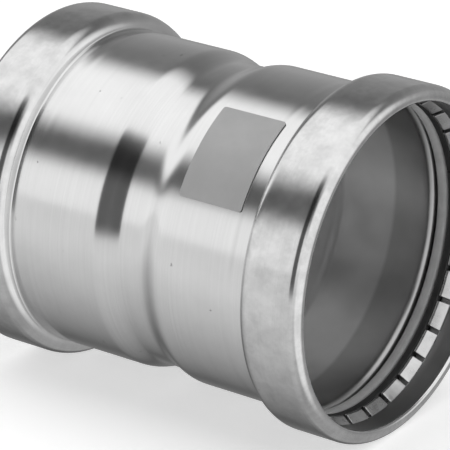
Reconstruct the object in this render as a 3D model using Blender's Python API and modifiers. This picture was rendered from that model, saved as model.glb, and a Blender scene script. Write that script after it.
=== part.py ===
"""Press coupling for 88.9 mm steel pipe, modelled in metres.

The coupling lies along X with its middle at the origin and +Z up. A formed
stainless tube holds, in the bead at each end, a cutting ring, a split
separator ring and a sealing ring. Every turned piece is modelled about its own
Z axis, which points out of the mouth that the piece belongs to.
"""

import math

import bmesh
import bpy
from mathutils import Matrix, Vector

# The pipe and the sockets that take it
PIPE_DIAMETER = 0.0889
PIPE_PLAY = 0.0003
WALL = 0.00165
INSERTION_DEPTH = 0.0485

# The waist in the middle, whose narrower bore stops the pipes
PIPE_STOP_LENGTH = 0.0230
WAIST_DEPTH = 0.0022
WAIST_BLEND = 0.0085

# The bead at each end, and the lip that is folded back inside its mouth
BEAD_HEIGHT = 0.00445
BEAD_FRONT_ROUND = 0.0030
REAR_FILLET = 0.00055
MOUTH_PLAY = 0.00165
LIP_DEPTH = 0.0072
LIP_ROUND = 0.0008

# The rings in each bead, given as lengths along the axis
CUTTING_RING_LENGTH = 0.0034
TOOTH_TIP = 0.0007
SEPARATOR_LENGTH = 0.0022
SEAL_LENGTH = 0.0035
RING_GAP = 0.0004
SEAL_REST_GAP = 0.00075
LIP_TO_CUTTING_RING = 0.0003
CHAMBER_CLEARANCE = 0.0004
TOOTH_PLAY = 0.00015
SEPARATOR_PLAY = 0.0003
SEAL_ROUND = 0.0013
SEAL_FLARE = 0.0006

# The slots in the cutting ring, and the split in the separator ring
SLOT_COUNT = 31
SLOT_WIDTH = 0.0015
SLOT_HOOP = 0.0018
FIRST_SLOT_ANGLE = 0.2
SPLIT_WIDTH = 0.0006
SPLIT_ANGLE = 14.0

# The label on the right-hand socket
LABEL_MARGIN = 0.0027
LABEL_LENGTH = 0.0205
LABEL_START_ANGLE = 114.0
LABEL_SWEEP = 35.5
LABEL_THICKNESS = 0.00025
LABEL_GAP = 0.00025

# How finely the turned shapes are faceted
TURN_STEPS = 48
ARC_STEPS = 2
BLEND_STEPS = 4
LABEL_STEPS = 6

# Sizes that follow from the ones above
PIPE_RADIUS = PIPE_DIAMETER / 2
BORE_RADIUS = PIPE_RADIUS + PIPE_PLAY
SOCKET_RADIUS = BORE_RADIUS + WALL
WAIST_RADIUS = SOCKET_RADIUS - WAIST_DEPTH
BEAD_RADIUS = SOCKET_RADIUS + BEAD_HEIGHT
CHAMBER_RADIUS = BEAD_RADIUS - WALL
MOUTH_RADIUS = BORE_RADIUS + MOUTH_PLAY
BEAD_REAR_ROUND = BEAD_HEIGHT - REAR_FILLET
SOCKET_END = PIPE_STOP_LENGTH / 2
RIM = SOCKET_END + INSERTION_DEPTH
LIP_REAR = RIM - LIP_DEPTH
LIP_OUTER_RADIUS = MOUTH_RADIUS + WALL
FOLD_ROUND = (CHAMBER_RADIUS - LIP_OUTER_RADIUS) / 2
RING_OUTER_RADIUS = CHAMBER_RADIUS - CHAMBER_CLEARANCE
CUTTING_FRONT = LIP_REAR - LIP_TO_CUTTING_RING
CUTTING_REAR = CUTTING_FRONT - CUTTING_RING_LENGTH
SEPARATOR_FRONT = CUTTING_REAR - RING_GAP
SEPARATOR_REAR = SEPARATOR_FRONT - SEPARATOR_LENGTH
SEAL_FRONT = SEPARATOR_REAR - RING_GAP
SEAL_REAR = SEAL_FRONT - SEAL_LENGTH
BEAD_REAR = SEAL_REAR - SEAL_REST_GAP - WALL
SEAL_BORE_RADIUS = BORE_RADIUS - PIPE_PLAY / 2


def clear_scene():
    for obj in list(bpy.data.objects):
        bpy.data.objects.remove(obj, do_unlink=True)


def new_collection(name, shown=True):
    collection = bpy.data.collections.new(name)
    collection.hide_render = not shown
    bpy.context.scene.collection.children.link(collection)
    return collection


def material(name, colour, roughness, metallic=0.0):
    made = bpy.data.materials.new(name)
    made.use_nodes = True
    shader = made.node_tree.nodes["Principled BSDF"]
    shader.inputs["Base Color"].default_value = (*colour, 1.0)
    shader.inputs["Roughness"].default_value = roughness
    shader.inputs["Metallic"].default_value = metallic
    return made


def arc(centre_r, centre_z, radius, start, end):
    """Points (r, z) round a centre, from the start angle to the end angle in degrees, 0 pointing outwards."""
    angles = [math.radians(start + (end - start) * i / ARC_STEPS) for i in range(ARC_STEPS + 1)]
    return [(centre_r + radius * math.cos(a), centre_z + radius * math.sin(a)) for a in angles]


def blend(start_r, end_r, start_z, end_z):
    """Points (r, z) along half a cosine wave, which leaves and arrives parallel to the axis."""
    shares = [i / BLEND_STEPS for i in range(BLEND_STEPS + 1)]
    return [
        (start_r + (end_r - start_r) * (1 - math.cos(math.pi * s)) / 2, start_z + (end_z - start_z) * s)
        for s in shares
    ]


def mirrored(points):
    """The same points below the middle plane, in the order that carries the outline on."""
    return [(r, -z) for r, z in reversed(points)]


def turned(name, outline, collection, finish):
    """A ring or tube made by turning a closed outline of (r, z) points, which runs down its outer side."""
    mesh = bpy.data.meshes.new(name)
    count = len(outline)
    points = [(r, 0.0, z) for r, z in outline]
    mesh.from_pydata(points, [(i, (i + 1) % count) for i in range(count)], [])
    obj = bpy.data.objects.new(name, mesh)
    collection.objects.link(obj)
    screw = obj.modifiers.new("Turn", "SCREW")
    screw.axis = "Z"
    screw.angle = math.tau
    screw.steps = TURN_STEPS
    screw.render_steps = TURN_STEPS
    screw.use_smooth_shade = True
    screw.use_merge_vertices = True
    screw.merge_threshold = 0.00001
    mesh.materials.append(finish)
    return obj


def face_mouth(obj, side, angle=0.0):
    """Points the piece's Z axis out of the right (+1) or left (-1) mouth, after a turn about it in degrees."""
    turn = Matrix.Rotation(math.radians(angle), 4, "Z")
    aim = Matrix.Rotation(side * math.pi / 2, 4, "Y")
    obj.matrix_world = aim @ turn


def slot_box(mesh, angle, length, inner, outer, width, middle):
    """Adds to the mesh a box whose long side is radial, at an angle in degrees about Z."""
    size = Matrix.Diagonal((outer - inner, width, length, 1.0))
    place = Matrix.Translation(Vector(((inner + outer) / 2, 0.0, middle)))
    turn = Matrix.Rotation(math.radians(angle), 4, "Z")
    bmesh.ops.create_cube(mesh, size=1.0, matrix=turn @ place @ size)


def cutter(name, boxes, collection):
    """One helper object that holds every box of a cut, each box given as slot_box's arguments."""
    mesh = bmesh.new()
    for box in boxes:
        slot_box(mesh, *box)
    data = bpy.data.meshes.new(name)
    mesh.to_mesh(data)
    mesh.free()
    obj = bpy.data.objects.new(name, data)
    obj.hide_render = True
    obj.display_type = "WIRE"
    collection.objects.link(obj)
    return obj


def cut(obj, tool):
    boolean = obj.modifiers.new("Cut", "BOOLEAN")
    boolean.operation = "DIFFERENCE"
    boolean.object = tool


def press_body(collection, finish):
    """The formed tube: beads at both ends, sockets, and the waist between them."""
    front_centre = BEAD_RADIUS - BEAD_FRONT_ROUND
    outer = [(MOUTH_RADIUS + LIP_ROUND, RIM)]
    outer += arc(front_centre, RIM - BEAD_FRONT_ROUND, BEAD_FRONT_ROUND, 90, 0)
    outer += arc(BEAD_RADIUS - BEAD_REAR_ROUND, BEAD_REAR + BEAD_REAR_ROUND, BEAD_REAR_ROUND, 0, -90)
    outer += arc(SOCKET_RADIUS + REAR_FILLET, BEAD_REAR - REAR_FILLET, REAR_FILLET, 90, 180)[1:]
    outer += blend(SOCKET_RADIUS, WAIST_RADIUS, SOCKET_END, SOCKET_END - WAIST_BLEND)

    step_round = REAR_FILLET + WALL
    rear_inside = BEAD_REAR_ROUND - WALL
    inner = blend(WAIST_RADIUS - WALL, BORE_RADIUS, SOCKET_END - WAIST_BLEND, SOCKET_END)
    inner += arc(BORE_RADIUS + step_round, BEAD_REAR - REAR_FILLET, step_round, 180, 90)
    inner += arc(CHAMBER_RADIUS - rear_inside, BEAD_REAR + BEAD_REAR_ROUND, rear_inside, -90, 0)[1:]
    inner += arc(CHAMBER_RADIUS - FOLD_ROUND, RIM - WALL - FOLD_ROUND, FOLD_ROUND, 0, 180)
    inner += [(LIP_OUTER_RADIUS, LIP_REAR), (MOUTH_RADIUS, LIP_REAR)]
    inner += arc(MOUTH_RADIUS + LIP_ROUND, RIM - LIP_ROUND, LIP_ROUND, 180, 90)[:-1]

    outline = outer + mirrored(outer) + mirrored(inner) + inner
    obj = turned("press_body", outline, collection, finish)
    face_mouth(obj, 1)
    return obj


def cutting_ring(side_name, side, collection, helpers, finish):
    """The slotted ring: teeth that slope in from an outer hoop and away from the mouth."""
    inner = BORE_RADIUS + TOOTH_PLAY
    shoulder = RING_OUTER_RADIUS - SLOT_HOOP
    outline = [
        (RING_OUTER_RADIUS, CUTTING_FRONT),
        (RING_OUTER_RADIUS, CUTTING_REAR),
        (inner, CUTTING_REAR),
        (inner, CUTTING_REAR + TOOTH_TIP),
        (shoulder, CUTTING_FRONT),
    ]
    name = "cutting_ring_" + side_name
    obj = turned(name, outline, collection, finish)
    pitch = 360 / SLOT_COUNT
    length = 2 * CUTTING_RING_LENGTH
    middle = (CUTTING_FRONT + CUTTING_REAR) / 2
    boxes = [
        (FIRST_SLOT_ANGLE + pitch * i, length, inner - SLOT_HOOP, shoulder, SLOT_WIDTH, middle)
        for i in range(SLOT_COUNT)
    ]
    tool = cutter("slots_" + side_name, boxes, helpers)
    cut(obj, tool)
    for piece in (obj, tool):
        face_mouth(piece, side, 90)


def separator_ring(side_name, side, collection, helpers, finish):
    """The split ring that keeps the cutting ring's teeth off the seal."""
    inner = BORE_RADIUS + SEPARATOR_PLAY
    outline = [
        (RING_OUTER_RADIUS, SEPARATOR_FRONT),
        (RING_OUTER_RADIUS, SEPARATOR_REAR),
        (inner, SEPARATOR_REAR),
        (inner, SEPARATOR_FRONT),
    ]
    obj = turned("separator_ring_" + side_name, outline, collection, finish)
    length = 2 * SEPARATOR_LENGTH
    middle = (SEPARATOR_FRONT + SEPARATOR_REAR) / 2
    reach = RING_OUTER_RADIUS + SEPARATOR_LENGTH
    box = (SPLIT_ANGLE, length, inner - SEPARATOR_LENGTH, reach, SPLIT_WIDTH, middle)
    tool = cutter("split_" + side_name, [box], helpers)
    cut(obj, tool)
    for piece in (obj, tool):
        face_mouth(piece, side, 90)


def sealing_ring(side_name, side, collection, finish):
    """The elastomer ring, a rounded bar in section, whose bore opens a little towards the mouth."""
    corners = (
        (RING_OUTER_RADIUS - SEAL_ROUND, SEAL_FRONT - SEAL_ROUND, 90, 0),
        (RING_OUTER_RADIUS - SEAL_ROUND, SEAL_REAR + SEAL_ROUND, 0, -90),
        (SEAL_BORE_RADIUS + SEAL_ROUND, SEAL_REAR + SEAL_ROUND, -90, -180),
        (SEAL_BORE_RADIUS + SEAL_FLARE + SEAL_ROUND, SEAL_FRONT - SEAL_ROUND, 180, 90),
    )
    outline = []
    for centre_r, centre_z, start, end in corners:
        outline += arc(centre_r, centre_z, SEAL_ROUND, start, end)
    obj = turned("sealing_ring_" + side_name, outline, collection, finish)
    face_mouth(obj, side)


def pressure_label(collection, finish):
    """The grey label, a curved sheet just off the right-hand socket."""
    radius = SOCKET_RADIUS + LABEL_GAP
    mesh = bpy.data.meshes.new("pressure_label")
    near_waist = SOCKET_END + LABEL_MARGIN
    edge = [(radius, 0.0, near_waist + LABEL_LENGTH), (radius, 0.0, near_waist)]
    mesh.from_pydata(edge, [(0, 1)], [])
    obj = bpy.data.objects.new("pressure_label", mesh)
    collection.objects.link(obj)
    screw = obj.modifiers.new("Wrap", "SCREW")
    screw.axis = "Z"
    screw.angle = math.radians(LABEL_SWEEP)
    screw.steps = LABEL_STEPS
    screw.render_steps = LABEL_STEPS
    screw.use_smooth_shade = True
    sheet = obj.modifiers.new("Thickness", "SOLIDIFY")
    sheet.thickness = LABEL_THICKNESS
    sheet.offset = 1.0
    mesh.materials.append(finish)
    face_mouth(obj, 1, LABEL_START_ANGLE + 90)


def main():
    clear_scene()
    bpy.context.scene.unit_settings.scale_length = 1.0
    parts = new_collection("press_coupling")
    helpers = new_collection("cutters", shown=False)
    steel = material("stainless_steel", (0.62, 0.62, 0.62), 0.28, 1.0)
    hard_steel = material("spring_steel", (0.55, 0.55, 0.55), 0.35, 1.0)
    plastic = material("black_plastic", (0.02, 0.02, 0.02), 0.5)
    rubber = material("seal_rubber", (0.16, 0.16, 0.16), 0.6)
    sticker = material("label_film", (0.42, 0.42, 0.42), 0.7)
    press_body(parts, steel)
    for side_name, side in (("right", 1), ("left", -1)):
        cutting_ring(side_name, side, parts, helpers, hard_steel)
        separator_ring(side_name, side, parts, helpers, plastic)
        sealing_ring(side_name, side, parts, rubber)
    pressure_label(parts, sticker)


main()
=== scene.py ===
"""Looks of the press coupling for 88.9 mm pipe: a formed stainless tube that holds a cutting
ring, a split separator ring and a seal in each end, with a grey label on one socket. Lengths are
in metres. The coupling lies along X, and its right-hand mouth is the one at +X.
"""

import math

import bpy
import numpy as np
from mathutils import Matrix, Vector


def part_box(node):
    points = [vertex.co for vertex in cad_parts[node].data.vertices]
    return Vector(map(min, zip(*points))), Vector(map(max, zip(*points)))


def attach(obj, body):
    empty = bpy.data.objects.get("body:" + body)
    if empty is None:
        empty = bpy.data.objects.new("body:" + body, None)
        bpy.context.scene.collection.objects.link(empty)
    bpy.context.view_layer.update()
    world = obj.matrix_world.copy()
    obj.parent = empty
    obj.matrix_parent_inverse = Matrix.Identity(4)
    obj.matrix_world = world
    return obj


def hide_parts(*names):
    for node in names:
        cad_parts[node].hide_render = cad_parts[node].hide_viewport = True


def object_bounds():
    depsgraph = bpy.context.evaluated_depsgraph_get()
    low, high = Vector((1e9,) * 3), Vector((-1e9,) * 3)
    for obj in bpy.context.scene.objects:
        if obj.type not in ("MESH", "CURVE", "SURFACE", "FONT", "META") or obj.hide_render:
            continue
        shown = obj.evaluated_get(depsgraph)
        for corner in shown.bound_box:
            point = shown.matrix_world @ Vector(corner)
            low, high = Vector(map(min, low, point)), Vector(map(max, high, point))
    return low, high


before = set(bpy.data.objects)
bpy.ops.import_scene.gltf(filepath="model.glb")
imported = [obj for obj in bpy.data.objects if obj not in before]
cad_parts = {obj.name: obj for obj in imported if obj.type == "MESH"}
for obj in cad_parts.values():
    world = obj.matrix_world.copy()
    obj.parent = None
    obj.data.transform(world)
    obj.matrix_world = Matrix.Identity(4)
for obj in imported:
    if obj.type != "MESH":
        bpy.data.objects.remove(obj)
cad_low, cad_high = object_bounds()

# ---------------------------------------------------------------------------------------------
# Press body. One length of thin stainless tube, rolled out at both ends into the bead that holds
# the rings, folded back inside itself at the mouth, and rolled in at the middle into the waist
# that stops the pipes. It leaves the rolls satin bright, with fine lines round it.

body_low, body_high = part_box("press_body")
seal_low, seal_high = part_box("sealing_ring_right")
label_low, label_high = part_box("pressure_label")
RIM = body_high.x
BEAD_RADIUS = body_high.z
WALL = 0.00165
SOCKET_RADIUS = 0.0464
WAIST_DEPTH = 0.0022
WAIST_BLEND = 0.0085
LABEL_MARGIN = 0.0027
SEAL_REST_GAP = 0.00075
MOUTH_PLAY = 0.00165
LIP_DEPTH = 0.0072
BORE_RADIUS = SOCKET_RADIUS - WALL
WAIST_RADIUS = SOCKET_RADIUS - WAIST_DEPTH
SOCKET_END = label_low.x - LABEL_MARGIN
WAIST_END = SOCKET_END - WAIST_BLEND
BEAD_REAR = seal_low.x - SEAL_REST_GAP - WALL
REAR_FILLET = 0.00055
REAR_ROUND = BEAD_RADIUS - SOCKET_RADIUS - REAR_FILLET
FRONT_ROUND = 0.0030
MOUTH_RADIUS = BORE_RADIUS + MOUTH_PLAY
LIP_REAR = RIM - LIP_DEPTH
LIP_ROUND = 0.0008
LIP_EDGE = 0.0003
# Where the painted shade inside the bore begins, short of the bead.
BORE_SHADE_FROM = BEAD_REAR - 0.0115
ROLL_MARK = BEAD_REAR - 0.0058
ROLL_MARK_HEIGHT = 0.00006
ROLL_MARK_WIDTH = 0.0009
OUT_OF_ROUND = 0.000018
TURNS = 240


def bend(centre_x, centre_r, radius, start, end, count=9):
    """Points (x, r) of a circular arc: x = centre + radius cos(a), r = centre + radius sin(a),
    with the angle a running evenly from start to end in degrees."""
    a = np.radians(np.linspace(start, end, count))
    return np.column_stack((centre_x + radius * np.cos(a), centre_r + radius * np.sin(a)))


def run(start, end, step=0.0016):
    """Points (x, r) spread evenly along a straight line, without its two ends."""
    start, end = np.array(start), np.array(end)
    count = max(2, int(np.linalg.norm(end - start) / step))
    share = np.linspace(0, 1, count + 1)[1:-1, None]
    return start + (end - start) * share


def roll_in(start, end, count=18):
    """Points (x, r) from one radius to another along half a cosine wave, so that the curve
    leaves and arrives parallel to the axis."""
    share = np.linspace(0, 1, count)
    x = start[0] + (end[0] - start[0]) * share
    r = start[1] + (end[1] - start[1]) * (1 - np.cos(np.pi * share)) / 2
    return np.column_stack((x, r))


def turned(x, r, angle):
    """Points of a turned surface: (x, r cos(angle), r sin(angle)), for arrays of one shape."""
    return np.stack((x, r * np.cos(angle), r * np.sin(angle)), axis=-1)


def skin(name, points, closed=True, sharp=40):
    """A mesh over a grid of points (row, column, xyz), where each row is a closed section. The
    last row joins the first, or both ends are closed by a ladder of quads across the section.
    Edges that turn by more than the sharp angle, in degrees, stay crisp."""
    rows, columns = points.shape[:2]
    steps = np.arange(rows if closed else rows - 1)
    row, column = np.meshgrid(steps, np.arange(columns), indexing="ij")
    next_row, next_column = (row + 1) % rows, (column + 1) % columns
    corners = (
        row * columns + column,
        row * columns + next_column,
        next_row * columns + next_column,
        next_row * columns + column,
    )
    quads = np.stack(corners, axis=-1).reshape(-1, 4)
    if not closed:
        rung = np.arange(columns // 2 - 1)
        cap = np.column_stack((columns - 1 - rung, columns - 2 - rung, rung + 1, rung))
        quads = np.vstack((quads, cap, cap[:, ::-1] + (rows - 1) * columns))
    mesh = bpy.data.meshes.new(name)
    mesh.vertices.add(rows * columns)
    mesh.vertices.foreach_set("co", points.astype(np.float32).ravel())
    mesh.loops.add(quads.size)
    mesh.loops.foreach_set("vertex_index", quads.astype(np.int32).ravel())
    mesh.polygons.add(len(quads))
    mesh.polygons.foreach_set("loop_start", np.arange(0, quads.size, 4, dtype=np.int32))
    mesh.polygons.foreach_set("use_smooth", np.ones(len(quads), dtype=bool))
    mesh.update(calc_edges=True)
    mesh.validate()
    mesh.set_sharp_from_angle(angle=math.radians(sharp))
    piece = bpy.data.objects.new(name, mesh)
    bpy.context.scene.collection.objects.link(piece)
    return piece


rear_centre = (BEAD_REAR + REAR_ROUND, BEAD_RADIUS - REAR_ROUND)
front_centre = (RIM - FRONT_ROUND, BEAD_RADIUS - FRONT_ROUND)
fillet_x = BEAD_REAR - REAR_FILLET
outside = np.vstack((
    bend(RIM - LIP_ROUND, MOUTH_RADIUS + LIP_ROUND, LIP_ROUND, -90, 0),
    bend(*front_centre, FRONT_ROUND, 0, 90, 18),
    run((front_centre[0], BEAD_RADIUS), (rear_centre[0], BEAD_RADIUS)),
    bend(*rear_centre, REAR_ROUND, 90, 180, 18),
    bend(fillet_x, SOCKET_RADIUS + REAR_FILLET, REAR_FILLET, 0, -90)[1:],
    run((fillet_x, SOCKET_RADIUS), (SOCKET_END, SOCKET_RADIUS), 0.0007),
    roll_in((SOCKET_END, SOCKET_RADIUS), (WAIST_END, WAIST_RADIUS)),
    run((WAIST_END, WAIST_RADIUS), (0, WAIST_RADIUS)),
))
chamber_radius = BEAD_RADIUS - WALL
lip_outer = MOUTH_RADIUS + WALL
fold = (chamber_radius - lip_outer) / 2
inside = np.vstack((
    run((0, WAIST_RADIUS - WALL), (WAIST_END, WAIST_RADIUS - WALL)),
    roll_in((WAIST_END, WAIST_RADIUS - WALL), (SOCKET_END, BORE_RADIUS)),
    run((SOCKET_END, BORE_RADIUS), (fillet_x, BORE_RADIUS)),
    bend(fillet_x, BORE_RADIUS + REAR_FILLET + WALL, REAR_FILLET + WALL, -90, 0),
    bend(*rear_centre, REAR_ROUND - WALL, 180, 90)[1:],
    run((rear_centre[0], chamber_radius), (RIM - WALL - fold, chamber_radius)),
    bend(RIM - WALL - fold, chamber_radius - fold, fold, 90, -90, 12),
    bend(LIP_REAR + LIP_EDGE, lip_outer - LIP_EDGE, LIP_EDGE, 90, 180, 6),
    bend(LIP_REAR + LIP_EDGE, MOUTH_RADIUS + LIP_EDGE, LIP_EDGE, 180, 270, 6),
    run((LIP_REAR + LIP_EDGE, MOUTH_RADIUS), (RIM - LIP_ROUND, MOUTH_RADIUS)),
))
mirror = np.array((-1, 1))
outline = np.vstack((outside, outside[::-1] * mirror, inside[::-1] * mirror, inside))

# The rolls leave a faint raised line round each socket, a little inboard of the bead.
on_outside = np.arange(len(outline)) < 2 * len(outside)
crest = np.exp(-(((np.abs(outline[:, 0]) - ROLL_MARK) / ROLL_MARK_WIDTH) ** 2))
outline[:, 1] += ROLL_MARK_HEIGHT * crest * on_outside

# The tube is a few hundredths of a millimetre out of round, which bends the long highlights.
angle, x = np.meshgrid(np.linspace(0, 2 * np.pi, TURNS, endpoint=False), outline[:, 0], indexing="ij")
lean = np.sin(3 * angle + 40 * x) + 0.6 * np.sin(5 * angle - 95 * x + 1.3)
lean *= np.clip((RIM - np.abs(x)) / 0.004, 0, 1)
radius = outline[:, 1] * (1 + OUT_OF_ROUND / SOCKET_RADIUS * lean)
body = skin("press_body_skin", turned(x, radius, angle))
in_bore = np.tile(~on_outside, TURNS)
body.data.polygons.foreach_set("material_index", in_bore.astype(np.int32))


def number(tree, operation, *values):
    """A Math node's result. Each value is a number or another node's output."""
    node = tree.nodes.new("ShaderNodeMath")
    node.operation = operation
    for socket, value in zip(node.inputs, values):
        if isinstance(value, bpy.types.NodeSocket):
            tree.links.new(value, socket)
        else:
            socket.default_value = value
    return node.outputs[0]


def spread(tree, value, low, high, new_low, new_high):
    """Carries a value from one range to another, and stops it at the new range's ends."""
    node = tree.nodes.new("ShaderNodeMapRange")
    for socket, size in zip(node.inputs[1:5], (low, high, new_low, new_high)):
        socket.default_value = size
    tree.links.new(value, node.inputs[0])
    return node.outputs[0]


def cloud(tree, place, scale, detail=2.0, roughness=0.5):
    """Noise from 0 to 1 over a place, with that many lumps to the metre."""
    node = tree.nodes.new("ShaderNodeTexNoise")
    for socket, size in (("Scale", scale), ("Detail", detail), ("Roughness", roughness)):
        node.inputs[socket].default_value = size
    tree.links.new(place, node.inputs["Vector"])
    return node.outputs["Fac"]


def new_finish(name, colour, roughness, metallic=0.0):
    """A material, with its node tree, its shader and the Object coordinate."""
    finish = bpy.data.materials.new(name)
    finish.use_nodes = True
    tree = finish.node_tree
    shader = tree.nodes["Principled BSDF"]
    shader.inputs["Base Color"].default_value = (colour, colour, colour, 1)
    shader.inputs["Roughness"].default_value = roughness
    shader.inputs["Metallic"].default_value = metallic
    return finish, tree, shader, tree.nodes.new("ShaderNodeTexCoord").outputs["Object"]


def shade(tree, shader, tone):
    """Sets the base colour to a grey that changes over the surface."""
    node = tree.nodes.new("ShaderNodeCombineColor")
    for socket in node.inputs:
        tree.links.new(tone, socket)
    tree.links.new(node.outputs[0], shader.inputs["Base Color"])


def relief(tree, shader, height, distance):
    """Raises the surface by the height, which is a share of the distance in metres."""
    node = tree.nodes.new("ShaderNodeBump")
    node.inputs["Distance"].default_value = distance
    tree.links.new(height, node.inputs["Height"])
    tree.links.new(node.outputs["Normal"], shader.inputs["Normal"])


def tool_lines_group():
    """Fine lines round the X axis. Noise is squeezed along X into thin rings, at the given lines
    to the metre, and the rings break up slowly along their length."""
    group = bpy.data.node_groups.new("tool_lines", "ShaderNodeTree")
    group.interface.new_socket(name="Place", in_out="INPUT", socket_type="NodeSocketVector")
    for socket in ("Lines", "Breaks"):
        group.interface.new_socket(name=socket, in_out="INPUT", socket_type="NodeSocketFloat")
    group.interface.new_socket(name="Height", in_out="OUTPUT", socket_type="NodeSocketFloat")
    given = group.nodes.new("NodeGroupInput").outputs
    squeeze = group.nodes.new("ShaderNodeCombineXYZ")
    for socket, size in zip(squeeze.inputs, (given["Lines"], given["Breaks"], given["Breaks"])):
        group.links.new(size, socket)
    rings = group.nodes.new("ShaderNodeVectorMath")
    rings.operation = "MULTIPLY"
    group.links.new(given["Place"], rings.inputs[0])
    group.links.new(squeeze.outputs[0], rings.inputs[1])
    result = group.nodes.new("NodeGroupOutput")
    group.links.new(cloud(group, rings.outputs[0], 1.0, 3.0), result.inputs["Height"])
    return group


tool_lines = tool_lines_group()


def lines_round(tree, place, lines, breaks):
    """The height of fine lines round the axis, from the shared group."""
    node = tree.nodes.new("ShaderNodeGroup")
    node.node_tree = tool_lines
    node.inputs["Lines"].default_value = lines
    node.inputs["Breaks"].default_value = breaks
    tree.links.new(place, node.inputs["Place"])
    return node.outputs["Height"]


# The outer skin: fine lines, soft clouds in the tone, and a few dull spots from handling. The
# beads are painted darker than the sockets in mottled patches, a painted shade for their dimmer reflection.
steel, tree, shader, place = new_finish("rolled_stainless", 0.7, 0.17, 1.0)
fine = lines_round(tree, place, 5200, 14)
broad = lines_round(tree, place, 900, 9)
clouds = cloud(tree, place, 60, 3.0, 0.6)
spots = spread(tree, cloud(tree, place, 420, 3.0, 0.6), 0.72, 0.77, 0, 1)
split = tree.nodes.new("ShaderNodeSeparateXYZ")
tree.links.new(place, split.inputs[0])
from_middle = number(tree, "ABSOLUTE", split.outputs["X"])
on_bead = spread(tree, from_middle, BEAD_REAR - 0.001, BEAD_REAR + 0.002, 0, 1)
# Painted shade: mottled darker patches on the beads, standing in for their dimmer reflection.
bead_shade_patches = spread(tree, cloud(tree, place, 190, 4.0, 0.65), 0.35, 0.65, -0.13, -0.01)
streaks = spread(tree, fine, 0.3, 0.7, -0.02, 0.02)
tone = number(tree, "ADD", spread(tree, clouds, 0.3, 0.7, 0.68, 0.74), streaks)
tone = number(tree, "ADD", tone, number(tree, "MULTIPLY", on_bead, bead_shade_patches))
shade(tree, shader, number(tree, "MULTIPLY", tone, spread(tree, spots, 0, 1, 1, 0.5)))
tree.links.new(spread(tree, clouds, 0.3, 0.7, 0.15, 0.21), shader.inputs["Roughness"])
relief(tree, shader, number(tree, "MULTIPLY_ADD", broad, 1.4, fine), 0.0000012)

# The bore keeps the duller skin of the mill, with coarser lines. Painted shade darkens it over the
# last stretch before the bead, and painted light makes the waist brighter.
bore_steel, tree, shader, place = new_finish("mill_stainless", 0.5, 0.34, 1.0)
fine = lines_round(tree, place, 3600, 10)
clouds = cloud(tree, place, 45, 3.0, 0.6)
split = tree.nodes.new("ShaderNodeSeparateXYZ")
tree.links.new(place, split.inputs[0])
from_middle = number(tree, "ABSOLUTE", split.outputs["X"])
# Painted light on the waist of the bore, and painted shade over the last stretch before the bead.
painted_waist_light = spread(tree, from_middle, SOCKET_END - 0.002, SOCKET_END + 0.001, 0.12, 0)
painted_bore_shade = spread(tree, from_middle, BORE_SHADE_FROM - 0.0006, BORE_SHADE_FROM + 0.0006, 0, -0.18)
tone = number(tree, "ADD", spread(tree, clouds, 0.3, 0.7, 0.57, 0.67), painted_waist_light)
shade(tree, shader, number(tree, "ADD", tone, painted_bore_shade))
tree.links.new(spread(tree, clouds, 0.3, 0.7, 0.28, 0.38), shader.inputs["Roughness"])
relief(tree, shader, fine, 0.000002)
body.data.materials.append(steel)
body.data.materials.append(bore_steel)
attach(body, "fitting")
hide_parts("press_body")

# ---------------------------------------------------------------------------------------------
# Cutting rings. A hardened stainless ring behind each lip, slotted into 31 teeth that slope in
# from an outer hoop and away from the mouth. Pressing drives the teeth into the pipe.

TEETH = 31
FIRST_SLOT = math.radians(0.2)
SLOT_HALF = 0.00075
HOOP = 0.0018
TOOTH_TIP = 0.0007
CORNER = 0.00016
ring_low, ring_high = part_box("cutting_ring_right")
hoop_radius = ring_high.z
tooth_radius = BORE_RADIUS + 0.00015
shoulder = hoop_radius - HOOP


def softened(corners, radius, count=4):
    """A closed outline whose corners are cut back by the radius and joined by a curve that is
    (1-t)^2 of the way in, 2t(1-t) the corner and t^2 of the way out."""
    corners = np.array(corners, dtype=float)
    before, after = np.roll(corners, 1, axis=0), np.roll(corners, -1, axis=0)

    def near(other):
        way = other - corners
        return corners + way * np.minimum(radius / np.linalg.norm(way, axis=1), 0.45)[:, None]

    t = np.linspace(0, 1, count)[None, :, None]
    curve = (1 - t) ** 2 * near(before)[:, None] + t**2 * near(after)[:, None]
    curve += 2 * t * (1 - t) * corners[:, None]
    return curve.reshape(-1, 2)


tooth = softened((
    (ring_low.x, hoop_radius),
    (ring_low.x, tooth_radius),
    (ring_low.x + TOOTH_TIP, tooth_radius),
    (ring_high.x, shoulder),
    (ring_high.x, hoop_radius),
), CORNER)
web = softened((
    (ring_low.x, hoop_radius),
    (ring_low.x, shoulder),
    (ring_low.x + TOOTH_TIP, shoulder),
    (ring_high.x, shoulder),
    (ring_high.x, hoop_radius),
), CORNER)

# One pitch, from a slot's middle to the next: how far each section stands from the nearest slot's
# middle, which side of it, and how much of the tooth it has.
pitch = 2 * math.pi / TEETH
stand_off = np.array((0.0, 1.0, 1.02, 1.06, 1.12, 1.3)) * SLOT_HALF
fullness = np.array((0.0, 0.0, 0.86, 0.94, 0.98, 1.0))
tooth_span = np.linspace(0, 1, 8)[1:-1]


def one_tooth(first_angle):
    """Grid of a pitch of the ring. By the slot a section lies at a fixed distance s from the
    slot's middle plane, which is an angle of arcsin(s / r); on the tooth the angle runs evenly."""
    rising = web + fullness[:, None, None] * (tooth - web)
    rise_angle = np.arcsin(stand_off[:, None] / rising[..., 1])
    across = rise_angle[-1] + (pitch - 2 * rise_angle[-1]) * tooth_span[:, None]
    full = np.broadcast_to(tooth, (len(tooth_span), *tooth.shape))
    sections = np.concatenate((rising, full, rising[:0:-1]))
    angles = np.concatenate((rise_angle, across, pitch - rise_angle[:0:-1]))
    return turned(sections[..., 0], sections[..., 1], angles + first_angle)


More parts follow.
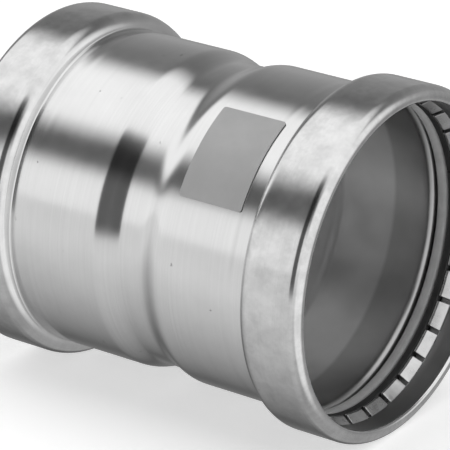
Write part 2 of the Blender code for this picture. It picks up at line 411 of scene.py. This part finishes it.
ring_points = np.concatenate([one_tooth(FIRST_SLOT + pitch * i) for i in range(TEETH)])
ring_steel, tree, shader, place = new_finish("ring_stainless", 0.6, 0.28, 1.0)
fine = lines_round(tree, place, 4200, 30)
clouds = cloud(tree, place, 240, 3.0, 0.6)
shade(tree, shader, spread(tree, clouds, 0.3, 0.7, 0.5, 0.66))
tree.links.new(spread(tree, clouds, 0.3, 0.7, 0.24, 0.36), shader.inputs["Roughness"])
relief(tree, shader, fine, 0.000003)
to_left_end = np.array((-1, 1, -1))
SIDES = (("right", 1), ("left", to_left_end))
for side, turn in SIDES:
    ring = skin("cutting_ring_%s_skin" % side, ring_points * turn, sharp=50)
    ring.data.materials.append(ring_steel)
    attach(ring, side + "_cutter")
    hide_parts("cutting_ring_" + side)

# ---------------------------------------------------------------------------------------------
# Separator rings. A flat ring of black plastic between the teeth and the seal, split once so that
# it springs into the bead.

separator_low, separator_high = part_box("separator_ring_right")
SPLIT = math.radians(14)
SPLIT_HALF = 0.0003
SEPARATOR_BORE = BORE_RADIUS + 0.0003
SEPARATOR_CORNER = 0.0004
section = softened((
    (separator_low.x, separator_high.z),
    (separator_low.x, SEPARATOR_BORE),
    (separator_high.x, SEPARATOR_BORE),
    (separator_high.x, separator_high.z),
), SEPARATOR_CORNER, 5)
section = np.roll(section, -len(section) // 8, axis=0)
half_gap = np.arcsin(SPLIT_HALF / section[:, 1])
share = np.linspace(0, 1, 241)[:, None]
angle = SPLIT + half_gap + (2 * math.pi - 2 * half_gap) * share
separator_points = turned(section[:, 0] + 0 * angle, section[:, 1] + 0 * angle, angle)
plastic, tree, shader, place = new_finish("black_plastic", 0.02, 0.5)
shade(tree, shader, spread(tree, cloud(tree, place, 300, 3.0, 0.6), 0.3, 0.7, 0.015, 0.028))
tree.links.new(spread(tree, cloud(tree, place, 150), 0.3, 0.7, 0.42, 0.58), shader.inputs["Roughness"])
relief(tree, shader, cloud(tree, place, 9000), 0.00001)
for side, turn in SIDES:
    ring = skin("separator_ring_%s_skin" % side, separator_points * turn, closed=False, sharp=50)
    ring.data.materials.append(plastic)
    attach(ring, side + "_separator")
    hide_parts("separator_ring_" + side)

# ---------------------------------------------------------------------------------------------
# Seals. A moulded rubber ring with well-rounded corners at the bottom of each bead, pushed in by
# hand and held by its own spring. Its bore opens a little towards the mouth.

SEAL_BORE = BORE_RADIUS - 0.00015
SEAL_FLARE = 0.0006
SEAL_CORNER = 0.0019
SEAL_TURNS = 256
section = softened((
    (seal_low.x, seal_high.z),
    (seal_low.x, SEAL_BORE),
    (seal_high.x, SEAL_BORE + SEAL_FLARE),
    (seal_high.x, seal_high.z),
), SEAL_CORNER, 12)
angle = np.linspace(0, 2 * np.pi, SEAL_TURNS, endpoint=False)[:, None] + np.zeros(len(section))
seal_points = turned(section[:, 0] + 0 * angle, section[:, 1] + 0 * angle, angle)
rubber, tree, shader, place = new_finish("seal_rubber", 0.36, 0.42)
shade(tree, shader, spread(tree, cloud(tree, place, 200, 3.0, 0.6), 0.3, 0.7, 0.34, 0.42))
tree.links.new(spread(tree, cloud(tree, place, 120), 0.3, 0.7, 0.38, 0.5), shader.inputs["Roughness"])
relief(tree, shader, cloud(tree, place, 5000), 0.00002)
for side, turn in SIDES:
    seal = skin("sealing_ring_%s_skin" % side, seal_points * turn)
    seal.data.materials.append(rubber)
    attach(seal, "fitting")
    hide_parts("sealing_ring_" + side)

# ---------------------------------------------------------------------------------------------
# Label. A blank square of grey film with small rounded corners, stuck on the right-hand socket
# between the waist and the bead.

LABEL_START = math.radians(114)
LABEL_SWEEP = math.radians(35.5)
LABEL_RADIUS = SOCKET_RADIUS + 0.0005
LABEL_THICKNESS = 0.00025
LABEL_CORNER = 0.0008
corner_share = 1 - np.cos(np.linspace(0, np.pi / 2, 7))
label_length = label_high.x - label_low.x
ends = np.concatenate((corner_share * LABEL_CORNER, [0.25 * label_length]))
along = np.concatenate((ends, [0.5 * label_length], label_length - ends[::-1]))
to_end = np.minimum(np.minimum(along, label_length - along), LABEL_CORNER)
corner_reach = np.sqrt(LABEL_CORNER**2 - (LABEL_CORNER - to_end) ** 2)
half_width = LABEL_RADIUS * LABEL_SWEEP / 2 - LABEL_CORNER + corner_reach
across = np.linspace(-1, 1, 33)
across = np.concatenate((across, across[::-1]))
low_side = np.repeat((0, 1), 33)
angle = LABEL_START + LABEL_SWEEP / 2 + across * half_width[:, None] / LABEL_RADIUS
radius = LABEL_RADIUS - LABEL_THICKNESS * low_side + 0 * angle
label_points = turned(label_low.x + along[:, None] + 0 * angle, radius, angle)
film, tree, shader, place = new_finish("label_film", 0.42, 0.4, 0.3)
shade(tree, shader, spread(tree, cloud(tree, place, 90, 4.0, 0.6), 0.3, 0.7, 0.44, 0.49))
tree.links.new(spread(tree, cloud(tree, place, 400), 0.3, 0.7, 0.42, 0.52), shader.inputs["Roughness"])
relief(tree, shader, cloud(tree, place, 2600), 0.000006)
label = skin("pressure_label_skin", label_points, closed=False)
label.data.materials.append(film)
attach(label, "fitting")
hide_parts("pressure_label")

# ---------------------------------------------------------------------------------------------
# Floor. A wide sheet of white paper under the two beads. It is kept out of the steel's
# reflections, which come from the studio alone.

FLOOR_HALF = 6.0
floor_x, floor_y = np.meshgrid((-FLOOR_HALF, FLOOR_HALF), (-FLOOR_HALF, FLOOR_HALF))
floor_points = np.stack((floor_x, floor_y, np.full_like(floor_x, cad_low.z)), axis=-1).reshape(-1, 3)
floor_mesh = bpy.data.meshes.new("floor")
floor_mesh.from_pydata(floor_points.tolist(), [], [(0, 1, 3, 2)])
floor = bpy.data.objects.new("floor", floor_mesh)
bpy.context.scene.collection.objects.link(floor)
floor.visible_glossy = False
paper, tree, shader, place = new_finish("floor_paper", 0.92, 0.9)
shader.inputs["Emission Color"].default_value = (1, 1, 1, 1)
shader.inputs["Emission Strength"].default_value = 0.42
floor.data.materials.append(paper)

# ---------------------------------------------------------------------------------------------
# Studio. A softbox overhead, a second one in front, a wash that fades from the front down under
# the coupling, and a dim wall behind. A dark gap is left between the two softboxes. Angles are
# about X, from the front horizon up over the top.

OVERHEAD_LIGHT = 1.2
FRONT_LIGHT = 1.1
WASH_LIGHT = 0.85
WALL_LIGHT = 0.4
UNLIT = 0.12
world = bpy.data.worlds.new("studio")
bpy.context.scene.world = world
world.use_nodes = True
tree = world.node_tree
split = tree.nodes.new("ShaderNodeSeparateXYZ")
tree.links.new(tree.nodes.new("ShaderNodeTexCoord").outputs["Generated"], split.inputs[0])
sky_x, sky_y, sky_z = split.outputs
height_angle = number(tree, "ARCTAN2", sky_z, number(tree, "MULTIPLY", sky_y, -1.0))


def between(value, low, high, soft):
    """1 where the value lies between low and high, and 0 outside, over a soft edge."""
    rise = spread(tree, value, low - soft, low + soft, 0, 1)
    fall = spread(tree, value, high - soft, high + soft, 1, 0)
    return number(tree, "MULTIPLY", rise, fall)


def softbox(low, high, soft, level):
    """A light between two heights, in degrees, with a soft edge."""
    inside_box = between(height_angle, math.radians(low), math.radians(high), math.radians(soft))
    return number(tree, "MULTIPLY", inside_box, level)


overhead = softbox(60, 120, 8, OVERHEAD_LIGHT)
front = softbox(0, 35, 6, FRONT_LIGHT)
fade = spread(tree, height_angle, math.radians(-120), math.radians(-20), UNLIT, WASH_LIGHT)
wash = number(tree, "MULTIPLY", fade, spread(tree, height_angle, 0, math.radians(35), 1, 0))
to_back = number(tree, "ABSOLUTE", height_angle)
wall = spread(tree, to_back, math.radians(120), math.radians(180), UNLIT, WALL_LIGHT)
lit = number(tree, "MAXIMUM", number(tree, "MAXIMUM", overhead, front), number(tree, "MAXIMUM", wash, wall))

# A dark card stands in front, square to the coupling's middle, down to the horizon.
card = number(
    tree, "MULTIPLY",
    between(sky_x, -0.40, 0.35, 0.06),
    between(height_angle, math.radians(-5), math.radians(64), 0.06),
)
lit = number(tree, "MULTIPLY", lit, spread(tree, card, 0, 1, 1, UNLIT))

# A bright panel fills the side that the right-hand mouth faces, and the floor throws some light
# up under that mouth.
floor_light = number(
    tree, "MULTIPLY",
    spread(tree, sky_x, -0.30, -0.05, 0, 0.42),
    spread(tree, sky_z, -0.45, -0.15, 1, 0),
)
panel = spread(tree, sky_x, 0.50, 0.75, 0, 1.15)
lit = number(tree, "MAXIMUM", lit, number(tree, "MAXIMUM", floor_light, panel))
tree.links.new(lit, tree.nodes["Background"].inputs["Strength"])
tree.nodes["Background"].inputs["Color"].default_value = (1, 1, 1, 1)
bpy.context.scene.view_settings.view_transform = "Standard"

# ---------------------------------------------------------------------------------------------
# Camera. It looks along the coupling from the right-hand mouth's side, and a little down.

AZIMUTH, ELEVATION = math.radians(35.93), math.radians(22.96)
CAMERA_DISTANCE = 0.9494
camera_data = bpy.data.cameras.new("camera")
camera_data.lens = 268
camera = bpy.data.objects.new("camera", camera_data)
flat = math.cos(ELEVATION)
back = Vector((math.sin(AZIMUTH) * flat, -math.cos(AZIMUTH) * flat, math.sin(ELEVATION)))
right = Vector((math.cos(AZIMUTH), math.sin(AZIMUTH), 0))
camera.location = back * CAMERA_DISTANCE + right * 0.00032 - back.cross(right) * 0.00211
camera.rotation_mode = "QUATERNION"
camera.rotation_quaternion = (-back).to_track_quat("-Z", "Y")
bpy.context.scene.collection.objects.link(camera)
bpy.context.scene.camera = camera
